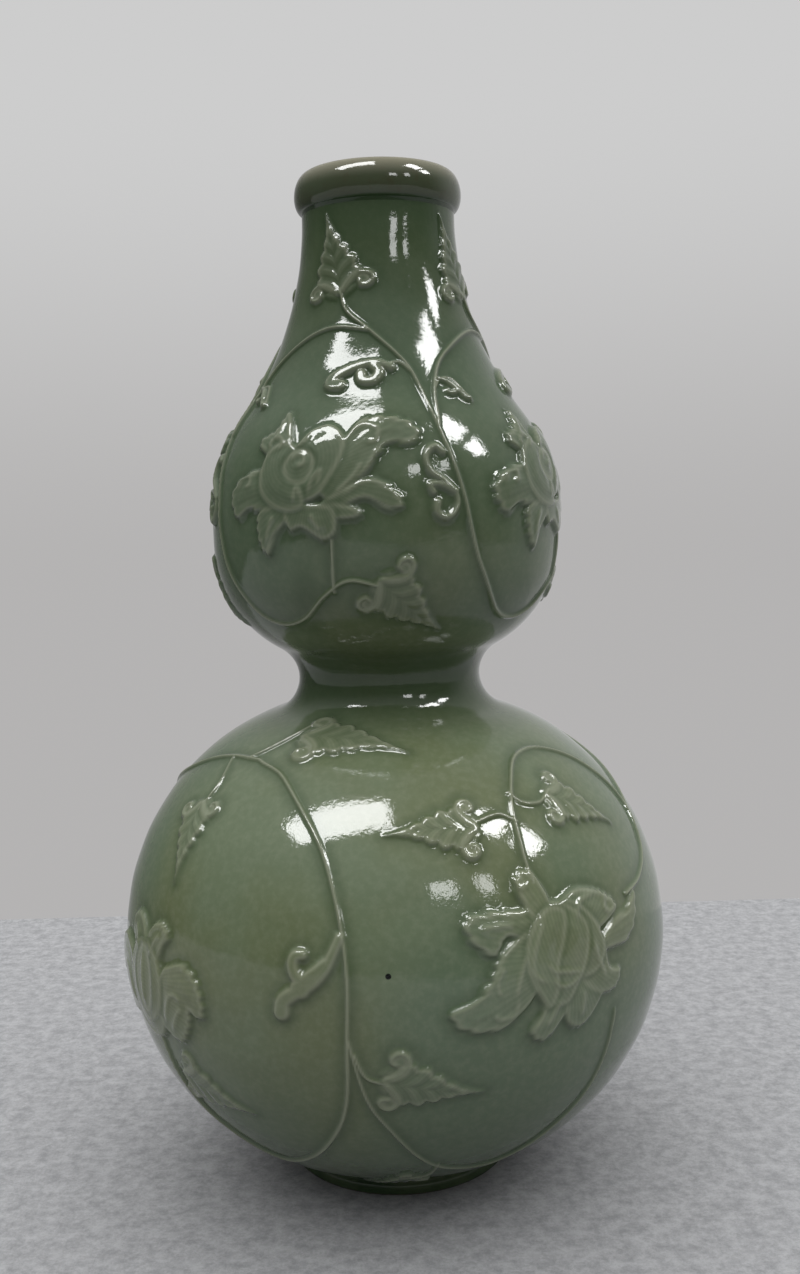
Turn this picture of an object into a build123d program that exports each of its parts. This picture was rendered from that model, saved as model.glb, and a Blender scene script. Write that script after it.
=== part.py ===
"""Double gourd vase with applied peony scroll, in millimetres.

The vase stands on Z = 0 with its axis on Z. It is hollow from the mouth to the
floor. The wall is five thrown sections luted edge to edge, on a turned foot ring.
Flowers, leaves and vines are separate sprigs laid on the wall.
"""
import os
from collections import namedtuple
from math import asin, atan2, ceil, cos, degrees, radians, sin, sqrt, tan

from build123d import *

os.makedirs("parts", exist_ok=True)

# Foot and wall
foot_radius = 38.5
foot_height = 7.2
foot_width = 7.0
foot_edge = 1.0
wall = 6.0
floor = 7.0

# Outline of the gourd, from the foot up
belly_radius = 93.0
waist_radius = 31.3
waist_curve = 12.0
waist_rise = 86.9
crown_radius = 58.9
crown_rise = 51.1
crown_flat_curve = 80.0
shoulder_curve = 55.0
neck_radius = 25.6
neck_rise = 103.3
flat_below_angle = 8.6
flat_above_angle = 10.0

# Rolled lip at the mouth
lip_radius = 28.0
lip_height = 13.7
lip_widest_share = 0.45
lip_bore_share = 0.56
lip_crown_share = 0.46

# Relief of the sprigs
leaf_relief = 1.8
petal_relief = 2.2
heart_relief = 3.2
vine_radius = 1.3
vine_lift = 0.2
shoot_radius = 1.0
vine_step = 9.0
vine_bend_share = 0.4
least_turn = 1.0
upper_flower_width = 62.0
hanging_flower_width = 70.0
fan_flower_width = 58.0
cut_depth = 16.0
cut_reach = 8.0

# Outline of a leaf, as shares of its length: along it, and out from its midline
leaf_edge_shares = ((0.03, 0.09), (0.20, 0.22), (0.42, 0.19), (0.57, 0.21), (0.68, 0.13), (0.87, 0.10), (1, 0))
leaf_curl_shares = (0.10, 0.25, 0.12)

# Outlines of petals, as shares of the flower's width: across, and up from its middle
open_petal_shares = (
    ((-0.12, 0.14), (-0.18, 0.35), (-0.24, 0.26), (-0.33, 0.21), (-0.27, 0.12), (-0.20, 0.02)),
    ((0.02, 0.00), (0.16, 0.20), (0.28, 0.26), (0.41, 0.26), (0.47, 0.18), (0.35, 0.14), (0.27, 0.00), (0.10, -0.12)),
    ((-0.20, -0.12), (-0.24, 0.06), (-0.44, 0.03), (-0.51, -0.05), (-0.46, -0.16), (-0.38, -0.12), (-0.30, -0.14)),
    ((0.05, -0.12), (0.26, 0.00), (0.36, -0.03), (0.43, -0.10), (0.38, -0.14), (0.26, -0.10), (0.14, -0.15)),
    ((-0.12, -0.12), (-0.30, -0.14), (-0.31, -0.27), (-0.26, -0.35), (-0.21, -0.27), (-0.13, -0.20)),
    ((0.06, -0.12), (0.20, -0.13), (0.25, -0.17), (0.19, -0.20), (0.06, -0.19)),
    ((-0.14, -0.14), (-0.12, -0.25), (-0.05, -0.24), (0.06, -0.30), (0.13, -0.25), (0.10, -0.13)),
)
open_heart_shares = ((-0.24, 0.08), (-0.14, 0.20), (0.02, 0.24), (0.16, 0.20), (0.20, 0.06),
                     (0.10, -0.09), (-0.04, -0.14), (-0.18, -0.09))
hanging_petal_shares = (
    ((-0.08, 0.20), (-0.28, 0.25), (-0.46, 0.24), (-0.49, 0.18), (-0.44, 0.10), (-0.34, 0.05), (-0.20, 0.08)),
    ((-0.17, 0.13), (-0.31, 0.06), (-0.37, -0.05), (-0.45, -0.12), (-0.53, -0.15), (-0.48, -0.22),
     (-0.34, -0.24), (-0.20, -0.16), (-0.14, -0.02)),
    ((-0.12, -0.08), (-0.15, -0.21), (-0.20, -0.28), (-0.14, -0.33), (-0.06, -0.28), (0.04, -0.14), (0.00, -0.06)),
    ((-0.02, -0.12), (-0.03, -0.27), (0.05, -0.32), (0.14, -0.27), (0.20, -0.16), (0.10, -0.08)),
    ((0.08, 0.06), (0.21, 0.01), (0.24, -0.10), (0.31, -0.13), (0.27, -0.20), (0.16, -0.20), (0.04, -0.10)),
    ((0.18, -0.02), (0.36, -0.02), (0.46, 0.05), (0.50, 0.17), (0.41, 0.10), (0.28, 0.08)),
    ((-0.06, 0.16), (0.07, 0.25), (0.21, 0.23), (0.33, 0.14), (0.24, 0.08), (0.10, 0.06)),
    ((-0.15, 0.36), (-0.10, 0.35), (-0.05, 0.24), (-0.08, 0.14), (-0.16, 0.18), (-0.19, 0.31)),
)
hanging_heart_shares = ((-0.09, 0.21), (-0.19, 0.12), (-0.23, 0.00), (-0.16, -0.10), (-0.04, -0.12),
                        (0.10, -0.06), (0.19, 0.04), (0.12, 0.17), (0.02, 0.22))

# Wall outline, arc by arc from the foot up. An angle is that of the outward normal
# above the horizon. A hollow arc has a negative radius.
Arc = namedtuple("Arc", "centre_r centre_z radius low_angle high_angle")


def arc_point(arc, angle, depth=0):
    reach = arc.radius - depth
    return arc.centre_r + reach * cos(radians(angle)), arc.centre_z + reach * sin(radians(angle))


def direction(start, end):
    return degrees(atan2(end[1] - start[1], end[0] - start[0]))


waist_centre_r = waist_radius + waist_curve
belly_swell = belly_radius - waist_centre_r
belly_curve = (belly_swell**2 + waist_rise**2 - waist_curve**2) / (2 * (belly_swell + waist_curve))
belly_centre_r = belly_radius - belly_curve
belly_z = foot_height + sqrt(belly_curve**2 - (foot_radius - belly_centre_r) ** 2)
waist_z = belly_z + waist_rise
waist_centre = (waist_centre_r, waist_z)
crown_z = waist_z + crown_rise
neck_z = crown_z + neck_rise
lip_z = neck_z + lip_height * lip_widest_share
mouth_z = neck_z + lip_height
bore_radius = neck_radius - wall

crown_centre = (crown_radius - crown_flat_curve, crown_z)
crown_arc = Arc(*crown_centre, crown_flat_curve, -flat_below_angle, flat_above_angle)

low_turn = arc_point(crown_arc, -flat_below_angle)
across, rise = low_turn[0] - waist_centre_r, low_turn[1] - waist_z
low_lean = across * cos(radians(flat_below_angle)) - rise * sin(radians(flat_below_angle))
cup_curve = (across**2 + rise**2 - waist_curve**2) / (2 * (low_lean + waist_curve))
cup_centre = arc_point(crown_arc, -flat_below_angle, cup_curve)

shoulder_centre = arc_point(crown_arc, flat_above_angle, shoulder_curve)
neck_inset = neck_radius - shoulder_centre[0]
neck_climb = neck_z - shoulder_centre[1]
neck_curve = (neck_inset**2 + neck_climb**2 - shoulder_curve**2) / (2 * (shoulder_curve - neck_inset))
neck_centre = (neck_radius + neck_curve, neck_z)

foot_angle = degrees(asin((foot_height - belly_z) / belly_curve))
lower_turn_angle = direction((belly_centre_r, belly_z), waist_centre)
upper_turn_angle = direction(cup_centre, waist_centre)
neck_turn_angle = direction(shoulder_centre, neck_centre)

belly_arc = Arc(belly_centre_r, belly_z, belly_curve, foot_angle, lower_turn_angle)
waist_arc = Arc(*waist_centre, -waist_curve, lower_turn_angle, upper_turn_angle)
cup_arc = Arc(*cup_centre, cup_curve, upper_turn_angle, -flat_below_angle)
shoulder_arc = Arc(*shoulder_centre, shoulder_curve, flat_above_angle, neck_turn_angle)
neck_arc = Arc(*neck_centre, -neck_curve, neck_turn_angle, 0)
wall_arcs = (belly_arc, waist_arc, cup_arc, crown_arc, shoulder_arc, neck_arc)


def stretch(arc, low=None, high=None):
    """The same arc between two of its own angles."""
    return arc._replace(low_angle=arc.low_angle if low is None else low,
                        high_angle=arc.high_angle if high is None else high)


def wall_curve(arcs, depth=0):
    """Lines of the wall outline, upward, at a depth below its outer face."""
    for arc in arcs:
        middle = (arc.low_angle + arc.high_angle) / 2
        ThreePointArc(*(arc_point(arc, angle, depth) for angle in (arc.low_angle, middle, arc.high_angle)))


def wall_strip(outer_arcs, inner_arcs, outer_depth=0, inner_depth=wall, floor_z=None):
    """Section between two faces of the wall. A floor closes it to the axis."""
    outer_low = arc_point(outer_arcs[0], outer_arcs[0].low_angle, outer_depth)
    inner_low = arc_point(inner_arcs[0], inner_arcs[0].low_angle, inner_depth)
    with BuildSketch(Plane.XZ) as strip:
        with BuildLine():
            wall_curve(outer_arcs, outer_depth)
            wall_curve(inner_arcs, inner_depth)
            Line(arc_point(outer_arcs[-1], outer_arcs[-1].high_angle, outer_depth),
                 arc_point(inner_arcs[-1], inner_arcs[-1].high_angle, inner_depth))
            if floor_z is None:
                Line(outer_low, inner_low)
            else:
                Polyline(outer_low, (0, outer_low[1]), (0, floor_z), inner_low)
        make_face()
    return strip.sketch


# Wall sections
floor_z = foot_height + floor
inner_floor_angle = degrees(asin((floor_z - belly_z) / (belly_curve - wall)))

with BuildPart() as lower_bowl:
    inner = stretch(belly_arc, low=inner_floor_angle, high=0)
    revolve(wall_strip([stretch(belly_arc, high=0)], [inner], floor_z=floor_z), axis=Axis.Z)

with BuildPart() as lower_shoulder:
    section = [stretch(belly_arc, low=0), stretch(waist_arc, high=0)]
    revolve(wall_strip(section, section), axis=Axis.Z)

with BuildPart() as upper_bowl:
    section = [stretch(waist_arc, low=0), cup_arc, stretch(crown_arc, high=0)]
    revolve(wall_strip(section, section), axis=Axis.Z)

with BuildPart() as neck_and_shoulder:
    section = [stretch(crown_arc, low=0), shoulder_arc, neck_arc]
    revolve(wall_strip(section, section), axis=Axis.Z)

with BuildPart() as foot_ring:
    with BuildSketch(Plane.XZ):
        with Locations((foot_radius, 0)):
            Rectangle(foot_width, foot_height, align=(Align.MAX, Align.MIN))
    revolve(axis=Axis.Z)
    chamfer(foot_ring.edges().group_by(Axis.Z)[0], foot_edge)

with BuildPart() as mouth_rim:
    lip_crown_r = bore_radius + (lip_radius - bore_radius) * lip_crown_share
    lip_bore_z = neck_z + lip_height * lip_bore_share
    with BuildSketch(Plane.XZ):
        with BuildLine():
            EllipticalCenterArc((neck_radius, lip_z), lip_radius - neck_radius, lip_z - neck_z, 270)
            EllipticalCenterArc((lip_crown_r, lip_z), lip_radius - lip_crown_r, mouth_z - lip_z, 0)
            EllipticalCenterArc((lip_crown_r, lip_bore_z), lip_crown_r - bore_radius, mouth_z - lip_bore_z, 90)
            Polyline((bore_radius, lip_bore_z), (bore_radius, neck_z), (neck_radius, neck_z))
        make_face()
    revolve(axis=Axis.Z)

# Stock that the sprigs are cut from: the vase's outer form, and skins of clay laid over it
with BuildPart() as outer_form:
    with BuildSketch(Plane.XZ):
        with BuildLine():
            wall_curve(wall_arcs)
            Polyline((neck_radius, neck_z), (0, neck_z), (0, foot_height), (foot_radius, foot_height))
        make_face()
    revolve(axis=Axis.Z)

with BuildPart() as leaf_skin:
    revolve(wall_strip(wall_arcs, wall_arcs, -leaf_relief, 0), axis=Axis.Z)

with BuildPart() as petal_skin:
    revolve(wall_strip(wall_arcs, wall_arcs, -petal_relief, 0), axis=Axis.Z)

with BuildPart() as heart_skin:
    revolve(wall_strip(wall_arcs, wall_arcs, -heart_relief, 0), axis=Axis.Z)


# Places on the wall. A place is an azimuth from the front, and a share of the climb
# of its gourd: foot to waist for the lower one, waist to neck top for the upper one.
Gourd = namedtuple("Gourd", "low_z high_z")
lower_gourd = Gourd(foot_height, waist_z)
upper_gourd = Gourd(waist_z, neck_z)


def wall_place(gourd, azimuth, share, lift=0):
    """Point on the wall and outward normal there."""
    z = gourd.low_z + (gourd.high_z - gourd.low_z) * share
    for arc in wall_arcs:
        if z <= arc_point(arc, arc.high_angle)[1]:
            break
    angle = degrees(asin(max(-1, min(1, (z - arc.centre_z) / arc.radius))))
    r, z = arc_point(arc, angle, -lift)
    side, front = sin(radians(azimuth)), -cos(radians(azimuth))
    normal = Vector(side * cos(radians(angle)), front * cos(radians(angle)), sin(radians(angle)))
    return Vector(side * r, front * r, z), normal


def sprig_plane(gourd, azimuth, share, toward=None):
    """Plane that touches the wall, its X along the wall to a point, or level with the ground."""
    origin, normal = wall_place(gourd, azimuth, share)
    level = Vector(cos(radians(azimuth)), sin(radians(azimuth)), 0)
    along = level if toward is None else toward - origin
    return Plane(origin, x_dir=along - normal * along.dot(normal), z_dir=normal)


def press(sketch, skin):
    """Cut a sketched shape out of a skin of clay."""
    extrude(sketch, amount=cut_reach)
    extrude(sketch, amount=-cut_depth)
    add(skin.part, mode=Mode.INTERSECT)


def make_leaf(gourd, base, tip, width_scale=1.0):
    """Leaf with two curls at its base, from a base place to a tip place."""
    start, _ = wall_place(gourd, *base)
    end, _ = wall_place(gourd, *tip)
    length = (end - start).length
    plane = sprig_plane(gourd, (base[0] + tip[0]) / 2, (base[1] + tip[1]) / 2, end)
    local_start = plane.to_local_coords(start)
    with BuildPart() as leaf:
        with BuildSketch(plane) as outline:
            for side in (width_scale, -width_scale):
                edge = [(local_start.X + length * x, length * y * side) for x, y in leaf_edge_shares]
                curl_x, curl_y, curl_r = leaf_curl_shares
                with BuildLine():
                    ThreePointArc(*edge[0:3])
                    ThreePointArc(*edge[2:5])
                    ThreePointArc(*edge[4:7])
                    Polyline(edge[6], (edge[0][0], 0), edge[0])
                make_face()
                with Locations((local_start.X + length * curl_x, length * curl_y * side)):
                    Circle(length * curl_r)
        press(outline.sketch, leaf_skin)
    return leaf.part


def petal_sketch(plane, outlines, width, turn):
    with BuildSketch(plane) as sketch:
        for outline in outlines:
            with BuildLine(Plane.XY.rotated((0, 0, turn))):
                Spline(*((width * x, width * y) for x, y in outline), periodic=True)
            make_face()
    return sketch.sketch


def make_flower(gourd, place, width, petals, heart, turn=0):
    """Flower pressed as one sprig: a ring of petals with a raised heart."""
    plane = sprig_plane(gourd, *place)
    with BuildPart() as ring_of_petals:
        press(petal_sketch(plane, [*petals, heart], width, turn), petal_skin)
    with BuildPart() as flower:
        press(petal_sketch(plane, [heart], width, turn), heart_skin)
        add(ring_of_petals.part)
    return flower.part


def vine_path(gourd, route):
    """Points on the wall along a route, close enough to follow its curve."""
    points = [wall_place(gourd, *route[0], vine_lift)[0]]
    for (azimuth, share), (next_azimuth, next_share) in zip(route, route[1:]):
        start = wall_place(gourd, azimuth, share)[0]
        end = wall_place(gourd, next_azimuth, next_share)[0]
        steps = ceil((end - start).length / vine_step)
        for step in range(1, steps + 1):
            part_way = step / steps
            points.append(wall_place(gourd, azimuth + (next_azimuth - azimuth) * part_way,
                                     share + (next_share - share) * part_way, vine_lift)[0])
    return points


def bend_radii(points):
    """Radius at each inner point that rounds the corner over most of its shorter run."""
    radii = []
    for before, corner, after in zip(points, points[1:], points[2:]):
        turn = radians((corner - before).get_angle(after - corner))
        run = min((corner - before).length, (after - corner).length) * vine_bend_share
        radii.append(run / tan(max(turn, radians(least_turn)) / 2))
    return radii


def make_coil(gourd, route, radius):
    """Half-round roll of clay along a route on the wall."""
    points = vine_path(gourd, route)
    with BuildPart() as coil:
        with BuildLine() as path:
            FilletPolyline(*points, radius=bend_radii(points))
        with BuildSketch(Plane(path.wire() @ 0, z_dir=path.wire() % 0)) as section:
            Circle(radius)
        sweep(section.sketch, path=path.wire())
        add(outer_form.part, mode=Mode.SUBTRACT)
    return coil.part


def make_vine(gourd, routes, joined=()):
    """Vine with its side shoots, ending at the sprigs that it joins."""
    with BuildPart() as vine:
        for number, route in enumerate(routes):
            add(make_coil(gourd, route, shoot_radius if number else vine_radius))
        for sprig in joined:
            add(sprig, mode=Mode.SUBTRACT)
    return vine.part


def turned(sprig, turn):
    """Copy of a sprig, turned about the vase's axis."""
    with BuildPart() as copy:
        add(sprig, rotation=(0, 0, turn))
    return copy.part


# Upper gourd: one repeat of its scroll, four times round
upper_repeats = 4
upper_pitch = 360 / upper_repeats
upper_flower_place_shares = (68, 0.43)
upper_leaf_shares = {
    "neck_leaf": ((-24, 0.81), (-40, 0.98), 1.0),
    "upper_scroll_leaf": ((86, 0.22), (109, 0.125), 1.0),
    "upper_hook_leaf": ((3, 0.655), (-22, 0.635), 0.9),
    "upper_small_leaf": ((21.4, 0.40), (11.5, 0.415), 1.2),
}
upper_vine_shares = (
    ((-25, 0.82), (-20, 0.775), (-6, 0.73), (7, 0.68), (14, 0.63), (19, 0.52), (24, 0.40), (26, 0.33),
     (30, 0.25), (39, 0.165), (50, 0.14), (61, 0.155), (70, 0.20), (78, 0.23), (87, 0.22)),
    ((13, 0.64), (8, 0.66), (1, 0.655)),
    ((74, 0.31), (73.5, 0.207)),
)
upper_branch_shares = (
    ((84, 0.73), (66, 0.74), (52, 0.73), (38, 0.70), (27, 0.66), (21, 0.60), (19, 0.53)),
    ((21.5, 0.605), (25, 0.625), (31, 0.625), (36, 0.59)),
)

upper_flower = make_flower(upper_gourd, upper_flower_place_shares, upper_flower_width,
                           open_petal_shares, open_heart_shares)
upper_leaves = {name: make_leaf(upper_gourd, *places) for name, places in upper_leaf_shares.items()}
upper_vine = make_vine(upper_gourd, upper_vine_shares, [upper_flower, *upper_leaves.values()])
upper_branch = make_vine(upper_gourd, upper_branch_shares,
                         [upper_vine, turned(upper_vine, upper_pitch),
                          turned(upper_leaves["neck_leaf"], upper_pitch)])
upper_sprigs = {"upper_flower": upper_flower, "upper_vine": upper_vine, "upper_branch": upper_branch,
                **upper_leaves}

# Lower gourd: one repeat of its scroll, twice round
lower_repeats = 2
lower_pitch = 360 / lower_repeats
fan_flower_place_shares = (-57, 0.46)
hanging_flower_place_shares = (33, 0.54)
lower_leaf_shares = {
    "shoulder_leaf": ((-37, 0.925), (5, 0.89), 0.9),
    "drop_leaf": ((-54, 0.79), (-51, 0.65), 1.0),
    "side_leaf": ((-3, 0.345), (16, 0.31), 1.0),
    "bud_leaf": ((-14, 0.55), (-20, 0.465), 1.0),
    "foot_leaf": ((-50, 0.28), (-31, 0.24), 1.0),
    "left_leaf": ((19, 0.775), (-2, 0.765), 1.0),
    "right_leaf": ((42, 0.81), (59, 0.725), 1.0),
}
shoulder_vine_shares = (
    ((-106, 0.725), (-96, 0.77), (-84, 0.81), (-71, 0.847), (-58, 0.865), (-45, 0.868)),
    ((-57, 0.865), (-54, 0.775)),
    ((-50, 0.867), (-43, 0.895), (-36, 0.925)),
)
rising_vine_shares = (
    ((-45, 0.868), (-31, 0.845), (-18, 0.77), (-12, 0.68), (-9, 0.56), (-9, 0.43), (-10, 0.30),
     (-14, 0.214), (-22, 0.14), (-33, 0.105), (-44, 0.14), (-52, 0.22), (-55, 0.36)),
    ((-9, 0.43), (-6, 0.306), (-2, 0.238), (4, 0.16), (12, 0.11), (25, 0.09), (35, 0.13), (42, 0.21),
     (45, 0.30), (46, 0.40)),
    ((-8, 0.40), (-6, 0.355), (-2, 0.342)),
    ((-9.5, 0.60), (-12, 0.565), (-14.5, 0.535)),
)
hanging_vine_shares = (
    ((28, 0.67), (28, 0.73), (30, 0.80), (37, 0.855), (46, 0.872), (56, 0.866), (66, 0.835), (73, 0.78),
     (74, 0.72), (69, 0.66), (61, 0.62), (53, 0.605)),
    ((29.2, 0.77), (25, 0.785), (18, 0.775)),
    ((33, 0.825), (38, 0.82), (43, 0.807)),
)

fan_flower = make_flower(lower_gourd, fan_flower_place_shares, fan_flower_width,
                         open_petal_shares, open_heart_shares)
hanging_flower = make_flower(lower_gourd, hanging_flower_place_shares, hanging_flower_width,
                             hanging_petal_shares, hanging_heart_shares)
lower_leaves = {name: make_leaf(lower_gourd, *places) for name, places in lower_leaf_shares.items()}
settled = [fan_flower, hanging_flower, *lower_leaves.values()]
hanging_vine = make_vine(lower_gourd, hanging_vine_shares, settled)
rising_vine = make_vine(lower_gourd, rising_vine_shares, settled)
shoulder_vine = make_vine(lower_gourd, shoulder_vine_shares,
                          [*settled, rising_vine, turned(hanging_vine, lower_pitch)])
lower_sprigs = {"fan_flower": fan_flower, "hanging_flower": hanging_flower, "shoulder_vine": shoulder_vine,
                "rising_vine": rising_vine, "hanging_vine": hanging_vine, **lower_leaves}

# Write each piece
lower_bowl.part.label = "lower_bowl"
export_step(lower_bowl.part, "parts/lower_bowl.step")
lower_shoulder.part.label = "lower_shoulder"
export_step(lower_shoulder.part, "parts/lower_shoulder.step")
upper_bowl.part.label = "upper_bowl"
export_step(upper_bowl.part, "parts/upper_bowl.step")
neck_and_shoulder.part.label = "neck_and_shoulder"
export_step(neck_and_shoulder.part, "parts/neck_and_shoulder.step")
foot_ring.part.label = "foot_ring"
export_step(foot_ring.part, "parts/foot_ring.step")
mouth_rim.part.label = "mouth_rim"
export_step(mouth_rim.part, "parts/mouth_rim.step")

for sprigs, repeats in ((upper_sprigs, upper_repeats), (lower_sprigs, lower_repeats)):
    for name, sprig in sprigs.items():
        for number in range(repeats):
            with BuildPart() as piece:
                add(sprig, rotation=(0, 0, number * 360 / repeats))
            piece.part.label = f"{name}_{number + 1}"
            export_step(piece.part, f"parts/{piece.part.label}.step")
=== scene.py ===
# %% [markdown]
# # A double gourd vase under celadon glaze
# The vase was thrown in sections, luted edge to edge and set on a turned foot. Moulded sprigs of clay,
# flowers, leaves and vines, were laid on the wet wall, and one thick green glaze covers it all.
# Because the glaze runs over wall and sprig alike, what the eye sees is one continuous skin.
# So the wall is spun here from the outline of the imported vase, and the relief is raised out of it.

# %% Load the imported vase
from collections import namedtuple
from functools import partial
from math import asin, atan2, ceil, cos, degrees, hypot, pi, radians, sin

import bmesh
import bpy
import numpy as np
from mathutils import Matrix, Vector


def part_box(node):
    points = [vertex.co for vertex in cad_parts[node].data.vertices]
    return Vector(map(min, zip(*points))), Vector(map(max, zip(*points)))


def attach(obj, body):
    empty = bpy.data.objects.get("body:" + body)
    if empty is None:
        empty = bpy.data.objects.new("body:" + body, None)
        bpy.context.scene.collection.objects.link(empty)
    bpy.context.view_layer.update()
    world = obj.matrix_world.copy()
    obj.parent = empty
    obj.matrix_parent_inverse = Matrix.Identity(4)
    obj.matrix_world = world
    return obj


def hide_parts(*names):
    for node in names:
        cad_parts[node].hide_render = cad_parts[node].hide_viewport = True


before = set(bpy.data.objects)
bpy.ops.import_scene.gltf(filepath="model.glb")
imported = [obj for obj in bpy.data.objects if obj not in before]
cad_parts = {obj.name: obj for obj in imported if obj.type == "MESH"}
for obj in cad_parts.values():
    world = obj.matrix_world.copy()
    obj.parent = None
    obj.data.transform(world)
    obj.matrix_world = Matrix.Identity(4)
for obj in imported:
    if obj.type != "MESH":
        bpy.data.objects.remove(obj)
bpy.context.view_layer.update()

# %% [markdown]
# ## Sizes
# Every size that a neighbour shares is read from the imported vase: heights from the corners of its
# sections, and radii from the rings of their edges. Only the curves between them are named here.

# %% Sizes read from the frame
mm = 0.001
ring_tolerance = 0.02 * mm


def edge_radii(node, height):
    """Smallest and largest radius of a section's vertices at a height."""
    radii = [hypot(v.co.x, v.co.y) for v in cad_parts[node].data.vertices
             if abs(v.co.z - height) < ring_tolerance]
    return min(radii), max(radii)


foot_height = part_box("foot_ring")[1].z
foot_inner_radius, foot_radius = edge_radii("foot_ring", foot_height)
belly_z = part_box("lower_bowl")[1].z
waist_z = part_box("lower_shoulder")[1].z
crown_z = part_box("upper_bowl")[1].z
neck_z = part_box("neck_and_shoulder")[1].z
mouth_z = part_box("mouth_rim")[1].z
lip_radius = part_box("mouth_rim")[1].x
belly_inner_radius, belly_radius = edge_radii("lower_bowl", belly_z)
waist_radius = edge_radii("lower_shoulder", waist_z)[1]
crown_radius = edge_radii("upper_bowl", crown_z)[1]
bore_radius, neck_radius = edge_radii("neck_and_shoulder", neck_z)
wall = belly_radius - belly_inner_radius
print("belly", round(belly_radius, 4), "waist", round(waist_radius, 4), "crown", round(crown_radius, 4),
      "neck", round(neck_radius, 4), "wall", round(wall, 4))

# %% Curves of the outline
floor = 7 * mm
foot_edge = 1 * mm
waist_curve = 12 * mm
crown_flat_curve = 80 * mm
shoulder_curve = 55 * mm
flat_below_angle = 8.6
flat_above_angle = 10.0
lip_widest_share = 0.45
lip_bore_share = 0.56
lip_crown_share = 0.46
lip_crease = 1.2 * mm

# %% [markdown]
# ## Outline of the wall
# The outline is six arcs, each tangent to the next. An arc keeps its centre, its radius and the angles
# of its outward normal. A hollow one, at the waist or the neck, has a negative radius. The tangent
# circles come out of short formulas, so the outline follows when a size of the frame changes.

# %% Arcs from the foot to the neck
Arc = namedtuple("Arc", "centre_r centre_z radius low_angle high_angle")


def arc_point(arc, angle, depth=0):
    reach = arc.radius - depth
    return arc.centre_r + reach * cos(radians(angle)), arc.centre_z + reach * sin(radians(angle))


def direction(start, end):
    return degrees(atan2(end[1] - start[1], end[0] - start[0]))


waist_centre = (waist_radius + waist_curve, waist_z)
belly_swell = belly_radius - waist_centre[0]
belly_rise = waist_z - belly_z
belly_curve = (belly_swell**2 + belly_rise**2 - waist_curve**2) / (2 * (belly_swell + waist_curve))
belly_centre_r = belly_radius - belly_curve

crown_arc = Arc(crown_radius - crown_flat_curve, crown_z, crown_flat_curve,
                -flat_below_angle, flat_above_angle)
low_turn = arc_point(crown_arc, -flat_below_angle)
across, rise = low_turn[0] - waist_centre[0], low_turn[1] - waist_z
low_lean = across * cos(radians(flat_below_angle)) - rise * sin(radians(flat_below_angle))
cup_curve = (across**2 + rise**2 - waist_curve**2) / (2 * (low_lean + waist_curve))
cup_centre = arc_point(crown_arc, -flat_below_angle, cup_curve)

shoulder_centre = arc_point(crown_arc, flat_above_angle, shoulder_curve)
neck_inset, neck_climb = neck_radius - shoulder_centre[0], neck_z - shoulder_centre[1]
neck_curve = (neck_inset**2 + neck_climb**2 - shoulder_curve**2) / (2 * (shoulder_curve - neck_inset))
neck_centre = (neck_radius + neck_curve, neck_z)

foot_angle = degrees(asin((foot_height - belly_z) / belly_curve))
lower_turn_angle = direction((belly_centre_r, belly_z), waist_centre)
upper_turn_angle = direction(cup_centre, waist_centre)
neck_turn_angle = direction(shoulder_centre, neck_centre)

belly_arc = Arc(belly_centre_r, belly_z, belly_curve, foot_angle, lower_turn_angle)
waist_arc = Arc(*waist_centre, -waist_curve, lower_turn_angle, upper_turn_angle)
cup_arc = Arc(*cup_centre, cup_curve, upper_turn_angle, -flat_below_angle)
shoulder_arc = Arc(*shoulder_centre, shoulder_curve, flat_above_angle, neck_turn_angle)
neck_arc = Arc(*neck_centre, -neck_curve, neck_turn_angle, 0)
wall_arcs = (belly_arc, waist_arc, cup_arc, crown_arc, shoulder_arc, neck_arc)
print("curves in mm:", [round(arc.radius / mm, 1) for arc in wall_arcs])

# %% Foot of a point on the outer wall
arc_tops = np.array([arc_point(arc, arc.high_angle)[1] for arc in wall_arcs])
arc_table = np.array([arc[:3] for arc in wall_arcs])


def wall_foot(points):
    """For each point near the outer wall, the nearest point on it and the outward normal there."""
    arc_number = np.minimum(np.searchsorted(arc_tops, points[:, 2]), len(wall_arcs) - 1)
    centre_r, centre_z, radius = arc_table[arc_number].T
    r = np.maximum(np.hypot(points[:, 0], points[:, 1]), ring_tolerance)
    toward = np.sign(radius)
    normal_r, normal_z = (r - centre_r) * toward, (points[:, 2] - centre_z) * toward
    length = np.hypot(normal_r, normal_z)
    normal_r, normal_z = normal_r / length, normal_z / length
    side, front = points[:, 0] / r, points[:, 1] / r
    foot_r, foot_z = centre_r + radius * normal_r, centre_z + radius * normal_z
    return (np.column_stack((side * foot_r, front * foot_r, foot_z)),
            np.column_stack((side * normal_r, front * normal_r, normal_z)))


# %% [markdown]
# ## Where the sprigs lie
# A place on the wall is an azimuth from the front, in degrees, and a share of the climb of its gourd.
# The scroll repeats four times round the upper gourd and twice round the lower one. The places are those
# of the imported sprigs, give or take a few degrees, so each raised form stays where its solid is. Only
# branch_bud and root_leaf, two small sprigs, are in the glazed skin alone.

# %% Places of flowers, leaves and vines
Gourd = namedtuple("Gourd", "low_z high_z repeats")
lower_gourd = Gourd(foot_height, waist_z, 2)
upper_gourd = Gourd(waist_z, neck_z, 4)

upper_flower_width = 62 * mm
hanging_flower_width = 70 * mm
fan_flower_width = 58 * mm

upper_flower_place_shares = (68, 0.43)
fan_flower_place_shares = (-57, 0.46)
hanging_flower_place_shares = (33, 0.54)

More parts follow.
